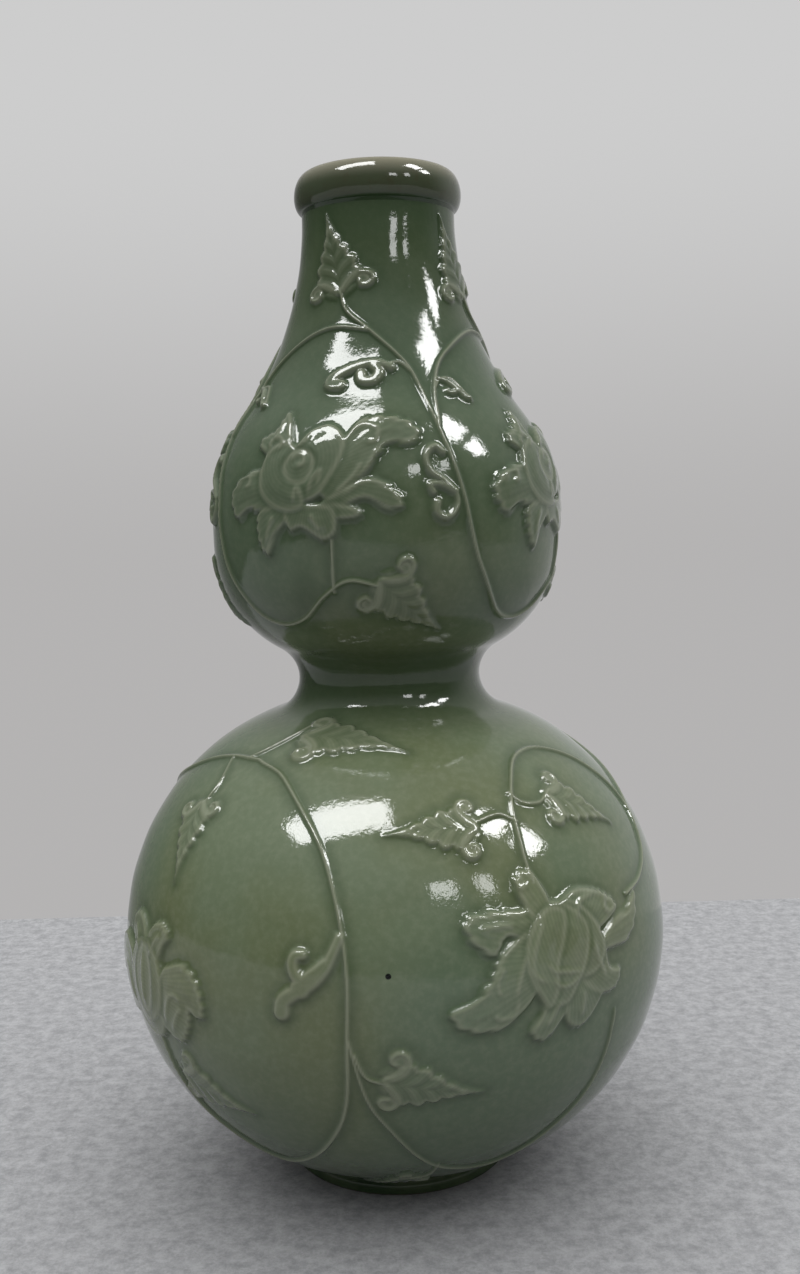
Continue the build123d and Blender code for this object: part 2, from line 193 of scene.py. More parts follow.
# A leaf has its base, its tip, and its width against that of the mould.
upper_leaf_shares = {
    "neck_leaf": ((-24, 0.81), (-40, 0.98), 1.2),
    "upper_scroll_leaf": ((86, 0.22), (109, 0.125), 1.25),
    "upper_hook_leaf": ((4, 0.655), (-23, 0.635), 0.9),
    "upper_small_leaf": ((21.4, 0.40), (11.5, 0.415), 1.2),
    "branch_bud": ((24, 0.628), (36, 0.585), 1.0),
}
lower_leaf_shares = {
    "shoulder_leaf": ((-37, 0.925), (5, 0.89), 0.9),
    "drop_leaf": ((-54, 0.79), (-51, 0.65), 1.0),
    "side_leaf": ((-3, 0.345), (16, 0.31), 1.0),
    "bud_leaf": ((-10.5, 0.605), (-21, 0.465), 1.0),
    "foot_leaf": ((-50, 0.28), (-31, 0.24), 1.0),
    "left_leaf": ((19, 0.775), (-2, 0.765), 1.0),
    "right_leaf": ((42, 0.81), (59, 0.725), 1.0),
    "root_leaf": ((7, 0.075), (-13, 0.035), 0.7),
}
vine_shares = {
    "upper_vine": (upper_gourd, (
        ((-25, 0.82), (-20, 0.775), (-6, 0.73), (7, 0.68), (14, 0.63), (19, 0.52), (24, 0.40), (26, 0.33),
         (30, 0.25), (39, 0.165), (50, 0.14), (61, 0.155), (70, 0.20), (78, 0.23), (87, 0.22)),
        ((13, 0.64), (8, 0.66), (1, 0.655)),
        ((74, 0.31), (73.5, 0.207)),
    )),
    "upper_branch": (upper_gourd, (
        ((84, 0.73), (66, 0.74), (52, 0.73), (38, 0.70), (27, 0.66), (21, 0.60), (19, 0.53)),
        ((21.5, 0.605), (25, 0.625), (31, 0.625), (36, 0.59)),
    )),
    "shoulder_vine": (lower_gourd, (
        ((-106, 0.725), (-96, 0.77), (-84, 0.81), (-71, 0.847), (-58, 0.865), (-45, 0.868)),
        ((-58, 0.865), (-53.5, 0.825), (-54, 0.775)),
        ((-50, 0.867), (-43, 0.895), (-36, 0.925)),
    )),
    "rising_vine": (lower_gourd, (
        ((-45, 0.868), (-31, 0.845), (-18, 0.77), (-12, 0.68), (-9, 0.56), (-9, 0.43), (-10, 0.30),
         (-14, 0.214), (-22, 0.14), (-33, 0.105), (-44, 0.14), (-52, 0.22), (-55, 0.36)),
        ((-9, 0.43), (-6, 0.306), (-2, 0.238), (4, 0.16), (12, 0.11), (25, 0.09), (35, 0.13), (42, 0.21),
         (45, 0.30), (46, 0.40)),
        ((-8, 0.40), (-6, 0.355), (-2, 0.342)),
        ((9, 0.13), (8, 0.095), (5, 0.075)),
    )),
    "hanging_vine": (lower_gourd, (
        ((28, 0.67), (28, 0.73), (30, 0.80), (37, 0.855), (46, 0.872), (56, 0.866), (66, 0.835), (73, 0.78),
         (74, 0.72), (69, 0.66), (61, 0.62), (53, 0.605)),
        ((29.2, 0.77), (25, 0.785), (18, 0.775)),
        ((30.5, 0.815), (33, 0.797), (38, 0.792), (43, 0.807)),
    )),
}

# %% Points and planes on the wall


def wall_place(gourd, azimuth, share):
    """Point on the wall and outward normal there."""
    z = gourd.low_z + (gourd.high_z - gourd.low_z) * share
    arc = wall_arcs[min(int(np.searchsorted(arc_tops, z)), len(wall_arcs) - 1)]
    angle = degrees(asin(max(-1, min(1, (z - arc.centre_z) / arc.radius))))
    r, z = arc_point(arc, angle)
    side, front = sin(radians(azimuth)), -cos(radians(azimuth))
    normal = np.array((side * cos(radians(angle)), front * cos(radians(angle)), sin(radians(angle))))
    return np.array((side * r, front * r, z)), normal


SprigPlane = namedtuple("SprigPlane", "origin along up normal")


def sprig_plane(gourd, azimuth, share, toward=None):
    """Plane that touches the wall, its first axis along the wall to a point, or level with the ground."""
    origin, normal = wall_place(gourd, azimuth, share)
    level = np.array((cos(radians(azimuth)), sin(radians(azimuth)), 0))
    along = level if toward is None else toward - origin
    along = along - normal * along.dot(normal)
    along /= np.linalg.norm(along)
    return SprigPlane(origin, along, np.cross(normal, along), normal)


# %% [markdown]
# ## Outlines of the moulded forms
# A sprig is drawn flat, as its mould was cut: an outline for each petal or leaf, then the ridges inside
# it. The points are percents of the flower's width or of the leaf's length, first to the right and then
# up. Smooth curves run through them, so a few points are enough.

# %% Petals of the open flower, as percents of its width
# Petals and hearts are closed outlines from back to front, and ridges are open lines.
open_petals = (
    ((-12, 14), (-18, 35), (-24, 26), (-33, 21), (-27, 12), (-20, 2)),
    ((2, 0), (14, 20), (20, 28.5), (29, 31.5), (41, 30), (47.5, 24), (44, 19), (35, 18), (31, 12), (26, 2),
     (10, -12)),
    ((-20, -12), (-24, 6), (-44, 3), (-51, -5), (-46, -16), (-38, -12), (-30, -14)),
    ((5, -12), (26, 0), (36, -3), (43, -10), (38, -14), (26, -10), (14, -15)),
    ((-12, -12), (-30, -14), (-31, -27), (-26, -35), (-21, -27), (-13, -20)),
    ((6, -12), (20, -13), (25, -17), (19, -20), (6, -19)),
    ((-14, -14), (-12, -25), (-5, -24), (6, -30), (13, -25), (10, -13)),
)
open_hearts = (
    ((-6, 22), (4, 27.5), (11, 25), (15.5, 18), (15, 10), (11, 1), (3, -10), (-8, -10), (-12, 8)),
    ((-28, 13), (-20, 19), (-12, 18), (-7, 10), (-5, -2), (-3, -13), (-12, -16), (-22, -13), (-29, -6),
     (-30.5, 4)),
    ((-16, 7), (-12, 13), (-4, 14.5), (1.5, 10), (1.5, 3), (-3, -3), (-10, -3), (-15, 2)),
)
open_ridges = (
    ((-11, 8.5), (-8.5, 11.5), (-4.5, 10.5), (-4, 7), (-8, 5.5)),
    ((-25, 15), (-25, 20), (-20, 21.5), (-17.5, 17.5), (-21, 15)),
    ((-17, 19), (-11, 20.5), (-9, 16.5), (-4, 19), (-2, 23)),
    ((-9, -11), (-7.5, -5), (-5, -9)),
    ((-1, -8), (1, -1), (5, 3), (3.5, -4)),
    ((17, 22), (22, 26.5), (29, 25), (29.5, 19), (25, 17.5)),
    ((12, -8), (20, 0), (24.5, 8)),
    ((15, -9), (23.5, -2), (28.5, 8), (31, 15)),
    ((-45, -2), (-42, 4), (-37, 3.5), (-37, -0.5), (-40, -1.5)),
    ((-23, 21), (-21, 25), (-19, 31)),
    ((-21, -17), (-23.5, -22), (-26, -29)),
    ((0, -17), (2, -21), (5, -25)),
)

# %% Petals of the fan flower, which has two like halves
def mirrored(outline):
    return tuple((-x, y) for x, y in outline)


fan_side_petal = ((18, 7), (25, 13), (36, 15), (45, 11), (50, 3), (51, -7), (46, -10), (42, -7), (39, -17),
                  (30, -27), (14, -20))
fan_top_petal = ((0, 10), (0, 22), (6, 30), (15, 32), (22, 27), (18, 20), (12, 8))
fan_foot_petal = ((-16, -16), (-14, -28), (0, -33), (14, -28), (16, -16))
fan_petals = (fan_side_petal, mirrored(fan_side_petal), fan_top_petal, mirrored(fan_top_petal),
              fan_foot_petal)
fan_side_heart = ((-2, 18), (12, 17), (19, 4), (17, -12), (6, -22), (-4, -20))
fan_middle_heart = ((0, 20), (9, 8), (8, -10), (0, -20), (-8, -10), (-9, 8))
fan_hearts = (fan_side_heart, mirrored(fan_side_heart), fan_middle_heart)
fan_side_ridge = ((20, -19), (24, -8), (27, -3), (32, -1), (36, -4))
fan_low_ridge = ((26, -22), (31, -13), (36, -7))
fan_top_ridge = ((7, 14), (11, 22), (15, 26))
fan_middle_ridge = ((0, 14), (0, 0), (0, -13))
fan_ridges = (fan_side_ridge, fan_low_ridge, mirrored(fan_side_ridge), fan_top_ridge,
              mirrored(fan_top_ridge), fan_middle_ridge)

# %% Petals of the hanging flower
hanging_petals = (
    ((-8, 20), (-26, 22), (-41, 22), (-44, 17), (-40, 10), (-33.5, 6), (-28, 12), (-18, 10)),
    ((-17, 13), (-31, 6), (-37, -5), (-45, -12), (-53, -15), (-48, -22), (-34, -24), (-20, -16),
     (-14, -2)),
    ((-12, -8), (-15, -21), (-20, -28), (-14, -33), (-6, -28), (4, -14), (0, -6)),
    ((-2, -12), (-3, -27), (5, -32), (14, -27), (20, -16), (10, -8)),
    ((8, 6), (21, 1), (24, -10), (31, -13), (27, -20), (16, -20), (4, -10)),
    ((18, -2), (36, -2), (46, 5), (50, 17), (41, 10), (28, 8)),
    ((-6, 16), (7, 25), (21, 23), (33, 14), (24, 8), (10, 6)),
    ((-15, 36), (-10, 35), (-5, 24), (-8, 14), (-16, 18), (-19, 31)),
)
hanging_hearts = (
    ((0, 22), (10, 19), (19, 8), (21, -3), (14, -10), (4, -10), (-3, 0), (-4, 12)),
    ((-6, 22), (5, 19), (12, 10), (10, -2), (4, -12), (-3, -20), (-12, -17), (-9, -6), (-8, 8)),
    ((-8, 21), (-18, 13), (-22, 1), (-19, -10), (-12, -20), (-7, -14), (-6, -3), (-1, 8), (1, 18)),
)
hanging_ridges = (
    ((-10, 17), (-15, 9), (-18.5, 1.5), (-18, -5), (-13, -9)),
    ((-12, -1), (-9, -5), (-2, -6.5), (6, -8)),
    ((-10, -8.5), (-6.5, -11.5), (-1, -12), (4, -9)),
    ((-31, 1), (-34.5, -5), (-33.5, -11)),
    ((-26, -13), (-27.5, -19), (-34, -20), (-36.5, -17.5)),
    ((-21, 4), (-25, -5), (-27, -12)),
    ((19, 25), (25, 21), (24, 14.5), (27.5, 12.5), (31, 14.5)),
    ((5, 13), (10, 20), (19, 21.5)),
    ((-21, 33), (-18, 30), (-14, 31)),
    ((13, 2), (16, -6), (20, -13)),
    ((-6, -17), (-9, -22), (-13, -27)),
    ((6, -16), (6, -21), (5, -27)),
    ((-24, 16), (-32, 17), (-38, 17)),
)

# %% Leaves, as percents of the leaf's length
# The side and the scroll are for one side of the midline. The other side is their mirror image.
leaf_side = ((0, 3), (5, 11), (13, 17.5), (25, 20.5), (37, 18.5), (50, 13.5), (64, 8.5), (80, 4),
             (92, 1.4))
leaf_scroll = ((3, 3), (11, 9), (17.5, 16), (19, 24), (15, 31), (8, 32), (3, 27), (4.5, 21), (9.5, 20.5))
leaf_scroll_centre = (11, 24)

# %% Curled buds, as percents of the bud's length
# Each stroke is a route, then the half width at its start and at its end.
side_bud_strokes = (
    (((0, 0), (18, 5), (34, 8), (53, 6), (70, -1), (86, -6), (97, -1)), 5, 8.8),
    (((42, 7), (55, 3), (58, -9), (52, -20), (43, -24), (37, -19)), 7.5, 5.5),
    (((28, 5), (46, 3), (64, 0)), 6, 11),
)
hook_bud_strokes = (
    (((0, 0), (22, -10), (48, -9), (75, -3), (95, 7), (98, 19), (85, 23)), 7, 11.5),
    (((28, -6), (19, 9), (30, 23), (46, 21), (48, 8)), 8.5, 9),
)
double_bud_strokes = (
    (((0, 0), (40, -23), (83, -40), (103, -73), (98, -103), (78, -118), (57, -107)), 9, 10),
    (((0, 0), (45, -10), (78, -2), (66, 17)), 10, 9),
    (((0, 0), (-13, 33), (-3, 67), (20, 83), (45, 70), (48, 44)), 7, 11),
)
print(len(open_petals), "open petals,", len(fan_petals), "fan petals,", len(hanging_petals), "hanging petals")

# %% [markdown]
# ## Heights of the relief
# A moulded form has a soft step at its edge, stands highest just inside it, and sinks to a shallow hollow
# further in. Glaze softens all of it, so each slope has a real width. The functions below take points of
# a flat form and return what stands there: the height of the clay, how thin the glaze is drawn over it,
# how much glaze pools in its creases, the count of combed lines, and the depth inside the outline.

# %% Sizes that every form shares
edge_softness = 2.0 * mm
rim_inset = 0.9 * mm
rim_width = 0.75 * mm
hollow_share = 0.76
hollow_reach = 1.5 * mm
swell_share = 0.45
swell_reach = 6 * mm
ridge_width = 0.9 * mm
ridge_taper = 0.12
ridge_end_share = 0.35
crease_reach = 1.1 * mm
flat_thin = 0.13
edge_thin = 0.36

# %% Curves through points, and distances to them
curve_steps = 5
no_length = 1e-18


def shares(percents):
    return np.array(percents) / 100


def smooth_curve(points, closed=False):
    """Evenly divided curve through the points, along its neighbours at each of them."""
    points = np.asarray(points, float)
    if closed:
        before, start, after, last = (np.roll(points, places, 0) for places in (1, 0, -1, -2))
    else:
        padded = np.vstack((2 * points[0] - points[1], points, 2 * points[-1] - points[-2]))
        before, start, after, last = padded[:-3], padded[1:-2], padded[2:-1], padded[3:]
    rows = []
    for t in np.arange(curve_steps) / curve_steps:
        bend = 2 * before - 5 * start + 4 * after - last
        twist = 3 * start - before - 3 * after + last
        rows.append(0.5 * (2 * start + (after - before) * t + bend * t**2 + twist * t**3))
    curve = np.stack(rows, 1).reshape(-1, points.shape[1])
    return curve if closed else np.vstack((curve, points[-1]))


def distance_to(points, starts, ends):
    """Distance from each point to the nearest stretch, and how far along the stretches that is, 0 to 1."""
    best = np.full(len(points), np.inf)
    place = np.zeros(len(points))
    for number, (start, end) in enumerate(zip(starts, ends)):
        run = end - start
        t = np.clip((points - start) @ run / max(run @ run, no_length), 0, 1)
        away = np.linalg.norm(points - start - t[:, None] * run, axis=1)
        nearer = away < best
        best[nearer] = away[nearer]
        place[nearer] = (number + t[nearer]) / len(starts)
    return best, place


def depth_inside(points, loop):
    """Distance to a closed outline, positive inside it."""
    ends = np.roll(loop, -1, 0)
    away, _ = distance_to(points, loop, ends)
    inside = np.zeros(len(points), bool)
    for (x0, y0), (x1, y1) in zip(loop, ends):
        crosses = (y0 > points[:, 1]) != (y1 > points[:, 1])
        if y0 != y1:
            inside ^= crosses & (points[:, 0] < (x1 - x0) * (points[:, 1] - y0) / (y1 - y0) + x0)
    return np.where(inside, away, -away)


def soft_step(depth, width):
    t = np.clip(depth / width + 0.5, 0, 1)
    return t * t * (3 - 2 * t)


def bump(distance, width):
    return np.exp(-((distance / width) ** 2))


def line_bump(points, line):
    """Rounded ridge along an open line, fading at its ends."""
    away, place = distance_to(points, line[:-1], line[1:])
    fade = np.clip(np.minimum(place, 1 - place) / ridge_taper, 0, 1)
    return bump(away, ridge_width) * (ridge_end_share + (1 - ridge_end_share) * fade)


# %% Parts that every form has
Form = namedtuple("Form", "height thin pool comb depth")


def cup(depth, hollow=hollow_share, swell=swell_share):
    """Share of the full height inside an outline: a rounded edge, a hollow, and a swell toward the middle."""
    edge = hollow + (1 - hollow) * bump(np.maximum(depth - rim_inset, 0), hollow_reach)
    return edge * soft_step(depth, edge_softness) + swell * soft_step(depth - swell_reach / 2, swell_reach)


def edge_glaze(depth):
    """Glaze drawn thin over a form, and thinnest along its edge."""
    return (flat_thin + edge_thin * bump(depth - rim_inset, rim_width)) * soft_step(depth, edge_softness)


def crease(depth):
    """Glaze pooled in the corner just outside an outline."""
    return bump(np.minimum(depth, 0), crease_reach) * (1 - soft_step(depth, edge_softness))


# %% Flower form
petal_relief = 1.2 * mm
heart_relief = 1.45 * mm
heart_hollow_share = 0.82
flower_swell = 0.6 * mm
flower_swell_share = 0.26
ridge_relief = 0.34 * mm
ridge_thin = 0.36
scallop_depth = 0.75 * mm
scallop_count = 56
scallop_start_share = 0.33
scallop_start_width = 6 * mm
comb_pitch = 1.25 * mm
ray_count = 84
tuck_share = 0.5


def flower_form(points, width, petals, hearts, ridges, comb_centre):
    """Petals laid one over the other from back to front, the higher petals of the heart on top of them.

    Combed lines fan out along the petals, and ring a centre on the heart."""
    height, thin, pool, comb = np.zeros((4, len(points)))
    flower_depth = np.full(len(points), -np.inf)
    angle, reach = np.arctan2(points[:, 1], points[:, 0]), np.hypot(points[:, 0], points[:, 1])
    scallops = scallop_depth * np.abs(np.sin(angle * scallop_count / 2))
    scallops *= soft_step(reach - scallop_start_share * width, scallop_start_width)
    rings = np.linalg.norm(points - shares(comb_centre) * width, axis=1) / comb_pitch
    rays = np.abs(angle) * ray_count / (2 * pi)
    for number, outline in enumerate((*petals, *hearts)):
        is_heart = number >= len(petals)
        depth = depth_inside(points, smooth_curve(shares(outline) * width, closed=True))
        depth = depth if is_heart else depth + scallops
        over = soft_step(depth, edge_softness)
        relief, hollow = (heart_relief, heart_hollow_share) if is_heart else (petal_relief, hollow_share)
        tuck = tuck_share * (crease(depth) * soft_step(flower_depth, edge_softness))
        height = height * (1 - over) + relief * cup(depth, hollow)
        thin = thin * (1 - over) * (1 - tuck) + edge_glaze(depth)
        pool = np.maximum(pool * (1 - over), tuck)
        comb = np.where(depth > 0, rings if is_heart else rays, comb)
        flower_depth = np.maximum(flower_depth, depth)
    for ridge in ridges:
        along = line_bump(points, smooth_curve(shares(ridge) * width))
        along = along * soft_step(flower_depth, edge_softness)
        height = height + ridge_relief * along
        thin = np.maximum(thin, (flat_thin + ridge_thin) * along)
    swell = flower_swell * bump(reach, flower_swell_share * width)
    height = height + swell * soft_step(flower_depth, edge_softness)
    return Form(height, thin, pool, comb, flower_depth)


# %% Leaf form
# Places along the leaf, its lobes and its scrolls are shares of its length.
leaf_relief = 1.0 * mm
leaf_scroll_relief = 1.15 * mm
leaf_hollow_share = 0.86
leaf_swell_share = 0.15
leaf_comb_pitch = 1.5 * mm
rib_relief = 0.11 * mm
rib_count = 5.5
rib_lean = 0.46
rib_rounding = 1e-4
rib_thin = 0.05
rib_pool = 0.25
midrib_share = 0.94
lobe_share = 0.046
lobe_fade_middle = 0.62
lobe_fade_width = 0.5
scroll_width_share = 0.040
scroll_taper_share = 0.010
scroll_disc_share = 0.085
scroll_disc_relief = 0.66 * leaf_scroll_relief
scroll_edge = 1.2
scroll_pool = 0.4


def leaf_form(points, base_x, length, width_scale):
    """Leaf with lobed sides, ribs that lean toward its tip, and two scrolls that curl back at its base."""
    scale = np.array((length, length * width_scale))
    base = np.array((base_x, 0))
    side = smooth_curve(shares(leaf_side))
    outline = np.vstack((side, ((1.0, 0.0),), side[::-1] * (1, -1))) * scale + base
    x, y = ((points - base) / scale).T
    ribs = (x - rib_lean * np.sqrt(np.abs(y) + rib_rounding)) * rib_count
    rib_wave = np.cos(2 * pi * ribs)
    lobe_fade = 1 - soft_step(x - lobe_fade_middle, lobe_fade_width)
    depth = depth_inside(points, outline) + lobe_share * length * np.abs(np.cos(pi * ribs)) * lobe_fade
    inside = soft_step(depth, edge_softness)
    height = leaf_relief * cup(depth, leaf_hollow_share, leaf_swell_share) + rib_relief * rib_wave * inside
    midrib = line_bump(points, np.array(((base_x, 0), (base_x + length * midrib_share, 0)))) * inside
    height = height - rib_relief * midrib
    thin = edge_glaze(depth) + rib_thin * rib_wave * inside
    pool = rib_pool * np.maximum(midrib, (0.5 - 0.5 * rib_wave) * inside)
    comb = np.where(depth > 0, ribs * length / rib_count / leaf_comb_pitch, 0)
    for flip in (1, -1):
        turn = scale * (1, flip)
        scroll = smooth_curve(shares(leaf_scroll) * turn + base)
        away, place = distance_to(points, scroll[:-1], scroll[1:])
        roll_width = length * (scroll_width_share - scroll_taper_share * place)
        roll = leaf_scroll_relief * bump(away, roll_width)
        scroll_centre = base + shares(leaf_scroll_centre) * turn
        disc = length * scroll_disc_share - np.linalg.norm(points - scroll_centre, axis=1)
        curl_depth = np.maximum(roll_width * scroll_edge - away, disc)
        curled = soft_step(curl_depth, edge_softness)
        height = np.maximum(height, np.maximum(roll, scroll_disc_relief * soft_step(disc, edge_softness)))
        thin = thin * (1 - curled) + edge_glaze(curl_depth)
        comb = np.where(curl_depth > 0, 0, comb)
        pool = np.maximum(pool * (1 - curled), scroll_pool * crease(curl_depth) * inside)
        depth = np.maximum(depth, curl_depth)
    return Form(height, thin, pool, comb, depth)


# %% Bud form
bud_relief = 1.5 * mm
bud_rim_shift = 0.3 * mm


def bud_form(points, base_x, length, strokes):
    """Curled bud of a few thick strokes that widen and bend over."""
    depth = np.full(len(points), -np.inf)
    for route, start_width, end_width in strokes:
        line = smooth_curve(shares(route) * length + (base_x, 0))
        away, place = distance_to(points, line[:-1], line[1:])
        half_width = length * shares(start_width + (end_width - start_width) * place)
        depth = np.maximum(depth, half_width - away)
    height = bud_relief * soft_step(depth, edge_softness)
    none = np.zeros(len(points))
    return Form(height, edge_glaze(depth + bud_rim_shift), none, none, depth)


# %% [markdown]
# ## Relief over the whole wall
# Each sprig is worked out in its own plane, which touches the wall at the sprig's middle, and only for
# the points near it. Vines follow the wall itself, so they are measured in space. The highest form wins
# where two meet. The glaze pools in a dark halo round each sprig, and the mesh is made finer there.
# Separate leaves laid on the wall would be simpler, but they would show a hard seam under the glaze.

# %% Sprigs round both gourds
# A form is worked out as far from its sprig's middle as its reach, a share of its width or its length.
flower_reach_share = 0.56
leaf_reach_share = 0.65
bud_reach_share = 1.5
open_comb_centre = (-7.5, 8.5)
fan_comb_centre = (0, -10)
hanging_comb_centre = (36, 16)

Sprig = namedtuple("Sprig", "plane form reach")
sprigs = []


def lay_flower(gourd, place, width, **outlines):
    form = partial(flower_form, width=width, **outlines)
    for number in range(gourd.repeats):
        plane = sprig_plane(gourd, place[0] + number * 360 / gourd.repeats, place[1])
        sprigs.append(Sprig(plane, form, width * flower_reach_share))


def lay_leaf(gourd, base, tip, width_scale, strokes=None):
    """Leaf between two places, or a curled bud if it has strokes."""
    for number in range(gourd.repeats):
        turn = number * 360 / gourd.repeats
        start, _ = wall_place(gourd, base[0] + turn, base[1])
        end, _ = wall_place(gourd, tip[0] + turn, tip[1])
        length = np.linalg.norm(end - start)
        plane = sprig_plane(gourd, (base[0] + tip[0]) / 2 + turn, (base[1] + tip[1]) / 2, end)
        base_x = (start - plane.origin) @ plane.along
        if strokes:
            form, reach = partial(bud_form, strokes=strokes), length * bud_reach_share
        else:
            form, reach = partial(leaf_form, width_scale=width_scale), length * leaf_reach_share
        sprigs.append(Sprig(plane, partial(form, base_x=base_x, length=length), reach))


lay_flower(upper_gourd, upper_flower_place_shares, upper_flower_width,
           petals=open_petals, hearts=open_hearts, ridges=open_ridges, comb_centre=open_comb_centre)
lay_flower(lower_gourd, fan_flower_place_shares, fan_flower_width,
           petals=fan_petals, hearts=fan_hearts, ridges=fan_ridges, comb_centre=fan_comb_centre)
lay_flower(lower_gourd, hanging_flower_place_shares, hanging_flower_width,
           petals=hanging_petals, hearts=hanging_hearts, ridges=hanging_ridges,
           comb_centre=hanging_comb_centre)
bud_strokes = {"bud_leaf": side_bud_strokes, "branch_bud": side_bud_strokes,
               "upper_hook_leaf": hook_bud_strokes, "upper_small_leaf": double_bud_strokes}
for gourd, leaves in ((upper_gourd, upper_leaf_shares), (lower_gourd, lower_leaf_shares)):
    for name, places in leaves.items():
        lay_leaf(gourd, *places, bud_strokes.get(name))
print(len(sprigs), "flowers and leaves")

# %% Vines round both gourds
# The first route of each vine is its stem, and the others are its thinner shoots.
vine_relief = 0.95 * mm
vine_width = 0.62 * mm
shoot_relief = 0.85 * mm
shoot_width = 0.56 * mm

Vine = namedtuple("Vine", "line relief width")
vines = []
for gourd, routes in vine_shares.values():
    for number in range(gourd.repeats):
        turn = number * 360 / gourd.repeats
        for order, route in enumerate(routes):
            places = smooth_curve(route)
            line = np.array([wall_place(gourd, azimuth + turn, share)[0] for azimuth, share in places])
            relief, width = (shoot_relief, shoot_width) if order else (vine_relief, vine_width)
            vines.append(Vine(line, relief, width))
print(len(vines), "runs of vine")


# %% Height and glaze at any point of the wall
halo_reach = 4.5 * mm
halo_strength = 0.42
inner_halo_reach = 0.8 * mm
near_reach = 9 * mm
plane_reach = 16 * mm
vine_thin = 0.75
vine_thin_share = 0.68


def relief_at(points):
    """Form of the relief at points on the wall. Its depth is negative outside, down to the near reach."""
    height, thin, pool, comb = np.zeros((4, len(points)))
    depth = np.full(len(points), -near_reach)
    for sprig in sprigs:
        offset = points - sprig.plane.origin
        x, y = offset @ sprig.plane.along, offset @ sprig.plane.up
        near = ((offset @ sprig.plane.normal > -plane_reach)
                & (np.hypot(x, y) < sprig.reach + near_reach)).nonzero()[0]
        if len(near) == 0:
            continue
        form = sprig.form(np.column_stack((x, y))[near])
        higher = form.height > height[near]
        height[near] = np.maximum(height[near], form.height)
        thin[near] = np.maximum(thin[near], form.thin)
        pool[near] = np.where(higher, form.pool, pool[near])
        comb[near] = np.where(higher, form.comb, comb[near])
        depth[near] = np.maximum(depth[near], form.depth)
    for vine in vines:
        low, high = vine.line.min(0) - near_reach, vine.line.max(0) + near_reach
        near = np.all((points > low) & (points < high), axis=1).nonzero()[0]
        if len(near) == 0:
            continue
        away, _ = distance_to(points[near], vine.line[:-1], vine.line[1:])
        height[near] = np.maximum(height[near], vine.relief * bump(away, vine.width))
        thin[near] = np.maximum(thin[near], vine_thin * bump(away, vine.width * vine_thin_share))
        comb[near] = np.where(away < vine.width, 0, comb[near])
        depth[near] = np.maximum(depth[near], vine.width - away)
    halo = np.where(depth > 0, 1 - soft_step(depth - inner_halo_reach / 2, inner_halo_reach),
                    1 - soft_step(-depth - halo_reach / 2, halo_reach))
    return Form(height, thin, np.maximum(pool, halo_strength * halo), comb, depth)


# %% [markdown]
# ## Throwing the wall
# Each section of the vase is spun from its own closed outline, outer face, rim and inner face together,
# so it is a real pot wall with thickness. The outer face then needs small faces near relief only: edges
# there are divided twice, the new points are set back on the true outline, and the relief is raised.
# Sections share their edge rings and the normals there, so the glaze reads as one skin.

# %% Sizes of the mesh
lower_columns = 288
upper_columns = 184
row_spacing = 2.0 * mm
inner_row_spacing = 6.0 * mm
refine_reaches = (3.6 * mm, 1.7 * mm)
undulation_relief = 0.055 * mm
seam_fade = 9 * mm
normal_step = 0.25 * mm
outer_band = wall / 3
# Each wave of the wall has its count round the vase, its pitch up it in millimetres, and its phase.
undulations = ((3, 31.0, 0.4), (5, 47.0, 2.1), (2, 83.0, 4.0), (7, 58.0, 1.3), (4, 15.0, 0.7), (9, 19.0, 2.9))


def wall_rows(arcs, spacing, depth=0):
    """Points up the wall outline, arc by arc."""
    rows = []
    for arc in arcs:
        run = abs(radians(arc.high_angle - arc.low_angle) * (arc.radius - depth))
        steps = max(2, ceil(run / spacing))
        rows += [arc_point(arc, arc.low_angle + (arc.high_angle - arc.low_angle) * step / steps, depth)
                 for step in range(steps)]
    return rows + [arc_point(arcs[-1], arcs[-1].high_angle, depth)]


def spin_profile(rows, columns, closed=True):
    """Closed body spun round the vase's axis from points (radius, height)."""
    bm = bmesh.new()
    ring = [bm.verts.new((r, 0, z)) for r, z in rows]
    pairs = list(zip(ring, ring[1:])) + ([(ring[-1], ring[0])] if closed else [])
    edges = [bm.edges.new(pair) for pair in pairs]
    bmesh.ops.spin(bm, geom=ring + edges, cent=(0, 0, 0), axis=(0, 0, 1), angle=2 * pi, steps=columns,
                   use_merge=True)
    bmesh.ops.remove_doubles(bm, verts=bm.verts[:], dist=ring_tolerance / 2)
    bmesh.ops.recalc_face_normals(bm, faces=bm.faces[:])
    return bm


def outer_face(points):
    """Nearest points on the outer wall, and which of the points lie on its outer face."""
    feet, _ = wall_foot(points)
    return feet, np.linalg.norm(points - feet, axis=1) < outer_band


def bm_points(bm):
    return np.array([v.co for v in bm.verts])


def refine_near_relief(bm):
    """Divide edges near the relief, and set the new points on the true outline."""
    for reach in refine_reaches:
        feet, outer = outer_face(bm_points(bm))
        close = np.zeros(len(feet), bool)
        close[outer] = relief_at(feet[outer]).depth > -reach
        bm.verts.index_update()
        edges = [e for e in bm.edges if close[e.verts[0].index] and close[e.verts[1].index]]
        bmesh.ops.subdivide_edges(bm, edges=edges, cuts=1, use_grid_fill=True)
        for vertex, foot, is_outer in zip(bm.verts, *outer_face(bm_points(bm))):
            if is_outer:
                vertex.co = foot


# %% Raise the relief
def undulation(points):
    """Slight unevenness of a hand-thrown wall."""
    angle = np.arctan2(points[:, 1], points[:, 0])
    total = np.zeros(len(points))
    for count, pitch, phase in undulations:
        total += np.sin(count * angle + phase) * np.sin(2 * pi * points[:, 2] / (pitch * mm) + phase * 2)
    return undulation_relief * total


